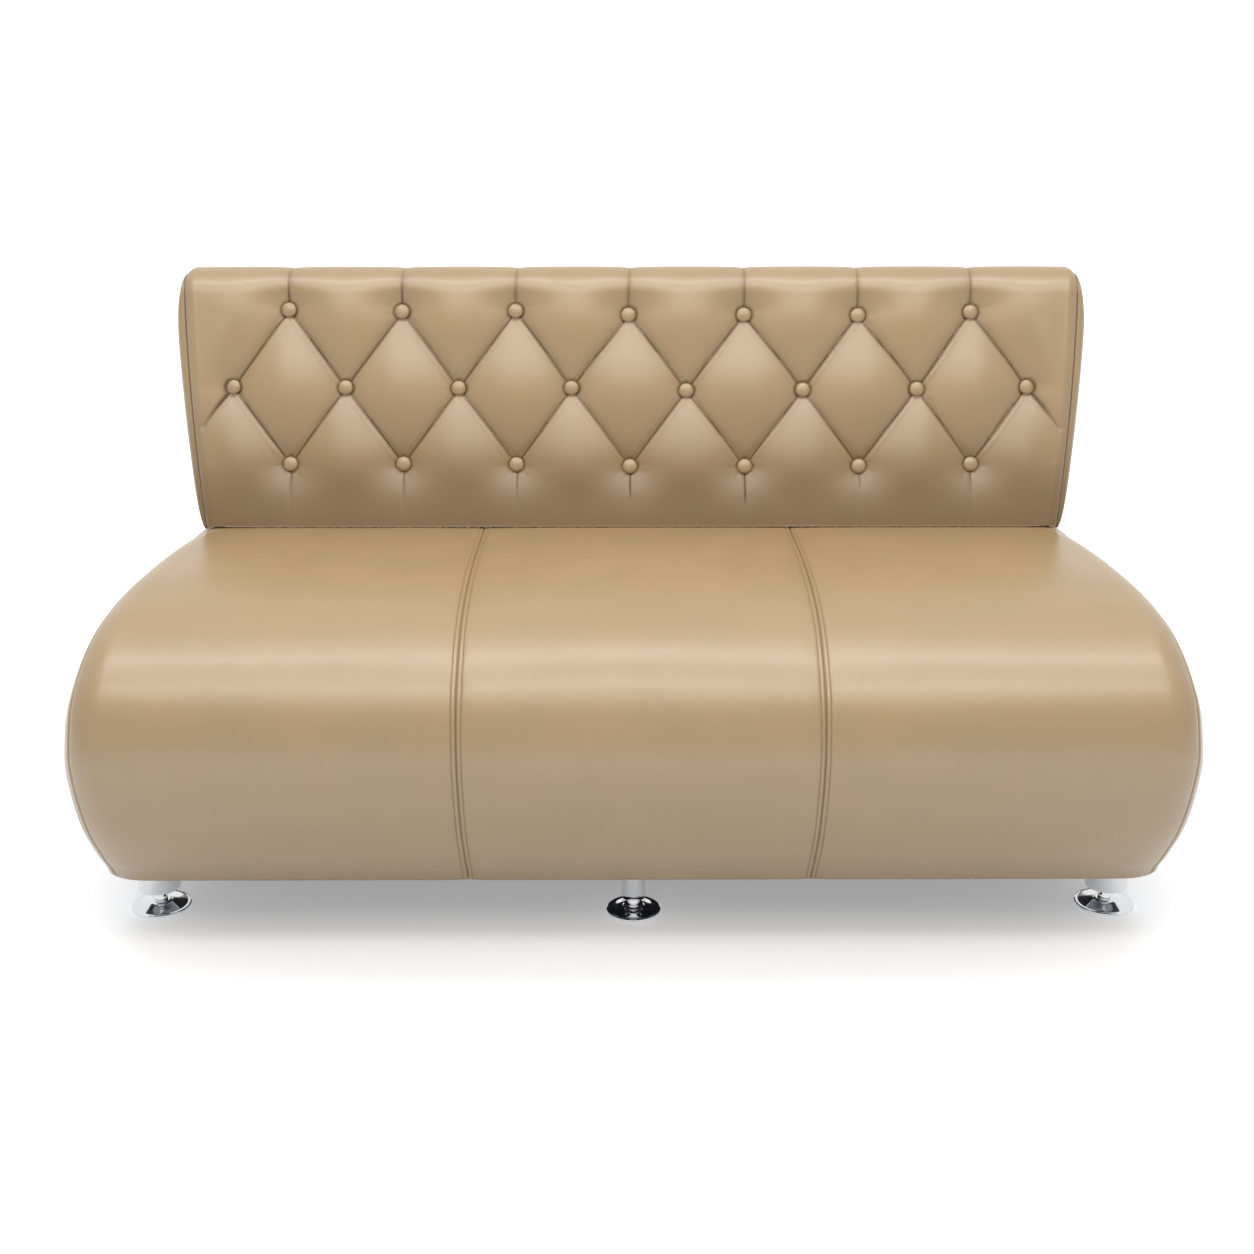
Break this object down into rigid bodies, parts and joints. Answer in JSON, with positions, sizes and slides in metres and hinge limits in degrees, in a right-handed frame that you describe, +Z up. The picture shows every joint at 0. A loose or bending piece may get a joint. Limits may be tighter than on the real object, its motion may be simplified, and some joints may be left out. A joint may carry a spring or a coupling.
{
  "type": "waiting sofa",
  "caption": "Armless waiting sofa in faux leather with a rounded panelled seat, a reclined deep-buttoned backrest and chrome levelling feet.",
  "frame": {"origin": "floor level, under the middle of the sofa's overall box", "axes": "+X to the right seen from the front, +Y from the nose of the seat to the back, +Z up; the sitter faces -Y"},
  "size_m": [1.434, 0.7232, 0.8227],
  "materials": {
    "leather": "beige faux leather, fine grain, soft gloss",
    "foam": "cream upholstery foam",
    "plywood": "raw birch plywood",
    "timber": "raw softwood",
    "webbing": "woven elastic webbing",
    "dust_cloth": "black non-woven cloth",
    "twine": "waxed button twine",
    "chrome": "polished chrome",
    "steel": "zinc-plated steel"
  },
  "bodies": {
    "sofa": {"base_panel": "plywood", "end_rib_left": "plywood", "end_rib_right": "plywood", "mid_ribs": "plywood", "nose_rails": "timber", "bottom_rails": "timber", "front_web_rails": "timber", "rear_web_rails": "timber", "deck_rail": "timber", "rear_panel": "plywood", "webbing": "webbing", "seat_foam": "foam", "side_foam_left": "foam", "side_foam_right": "foam", "seat_cover_left": "leather", "seat_cover_centre": "leather", "seat_cover_right": "leather", "end_cover_left": "leather", "end_cover_right": "leather", "seat_rear_cover": "leather", "dust_cover": "dust_cloth", "back_foot_rail": "timber", "back_top_rail": "timber", "back_ribs": "plywood", "back_panel": "plywood", "back_slab": "foam", "back_roll_foam": "foam", "back_side_foam_left": "foam", "back_side_foam_right": "foam", "tufted_cover": "leather", "back_end_cover_left": "leather", "back_end_cover_right": "leather", "back_rear_cover": "leather", "buttons_top_row": "leather", "buttons_middle_row": "leather", "buttons_bottom_row": "leather", "tuft_twines": "twine", "tuft_washers": "steel", "back_bolts": "steel", "back_bolt_washers": "steel", "back_tee_nuts": "steel", "corner_legs": "chrome", "centre_legs": "chrome", "leg_inserts": "steel", "leg_screws": "steel"},
    "front_left_foot": {"front_left_disc": "chrome"},
    "front_left_screw": {"front_left_stud": "chrome"},
    "front_centre_foot": {"front_centre_disc": "chrome"},
    "front_centre_screw": {"front_centre_stud": "chrome"},
    "front_right_foot": {"front_right_disc": "chrome"},
    "front_right_screw": {"front_right_stud": "chrome"},
    "rear_left_foot": {"rear_left_disc": "chrome"},
    "rear_left_screw": {"rear_left_stud": "chrome"},
    "rear_centre_foot": {"rear_centre_disc": "chrome"},
    "rear_centre_screw": {"rear_centre_stud": "chrome"},
    "rear_right_foot": {"rear_right_disc": "chrome"},
    "rear_right_screw": {"rear_right_stud": "chrome"}
  },
  "joints": [
    {"name": "front_left_level", "type": "slide", "parent": "sofa", "child": "front_left_foot", "axis": [0, 0, 1], "range_m": [-0.012, 0.006]},
    {"name": "front_left_turn", "type": "hinge", "parent": "front_left_foot", "child": "front_left_screw", "pos_m": [-0.65816, -0.15854, 0.01275], "axis": [0, 0, 1], "range_deg": [-2925, 1485]},
    {"name": "front_centre_level", "type": "slide", "parent": "sofa", "child": "front_centre_foot", "axis": [0, 0, 1], "range_m": [-0.012, 0.006]},
    {"name": "front_centre_turn", "type": "hinge", "parent": "front_centre_foot", "child": "front_centre_screw", "pos_m": [0, -0.17553, 0.01275], "axis": [0, 0, 1], "range_deg": [-2925, 1485]},
    {"name": "front_right_level", "type": "slide", "parent": "sofa", "child": "front_right_foot", "axis": [0, 0, 1], "range_m": [-0.012, 0.006]},
    {"name": "front_right_turn", "type": "hinge", "parent": "front_right_foot", "child": "front_right_screw", "pos_m": [0.65816, -0.15854, 0.01275], "axis": [0, 0, 1], "range_deg": [-2925, 1485]},
    {"name": "rear_left_level", "type": "slide", "parent": "sofa", "child": "rear_left_foot", "axis": [0, 0, 1], "range_m": [-0.012, 0.006]},
    {"name": "rear_left_turn", "type": "hinge", "parent": "rear_left_foot", "child": "rear_left_screw", "pos_m": [-0.6277, 0.19847, 0.01275], "axis": [0, 0, 1], "range_deg": [-2925, 1485]},
    {"name": "rear_centre_level", "type": "slide", "parent": "sofa", "child": "rear_centre_foot", "axis": [0, 0, 1], "range_m": [-0.012, 0.006]},
    {"name": "rear_centre_turn", "type": "hinge", "parent": "rear_centre_foot", "child": "rear_centre_screw", "pos_m": [0, 0.19847, 0.01275], "axis": [0, 0, 1], "range_deg": [-2925, 1485]},
    {"name": "rear_right_level", "type": "slide", "parent": "sofa", "child": "rear_right_foot", "axis": [0, 0, 1], "range_m": [-0.012, 0.006]},
    {"name": "rear_right_turn", "type": "hinge", "parent": "rear_right_foot", "child": "rear_right_screw", "pos_m": [0.6277, 0.19847, 0.01275], "axis": [0, 0, 1], "range_deg": [-2925, 1485]}
  ],
  "couplings": [
    {"joint": "front_left_turn", "follows": "front_left_level", "rad_per_m": 4188.8},
    {"joint": "front_centre_turn", "follows": "front_centre_level", "rad_per_m": 4188.8},
    {"joint": "front_right_turn", "follows": "front_right_level", "rad_per_m": 4188.8},
    {"joint": "rear_left_turn", "follows": "rear_left_level", "rad_per_m": 4188.8},
    {"joint": "rear_centre_turn", "follows": "rear_centre_level", "rad_per_m": 4188.8},
    {"joint": "rear_right_turn", "follows": "rear_right_level", "rad_per_m": 4188.8}
  ]
}
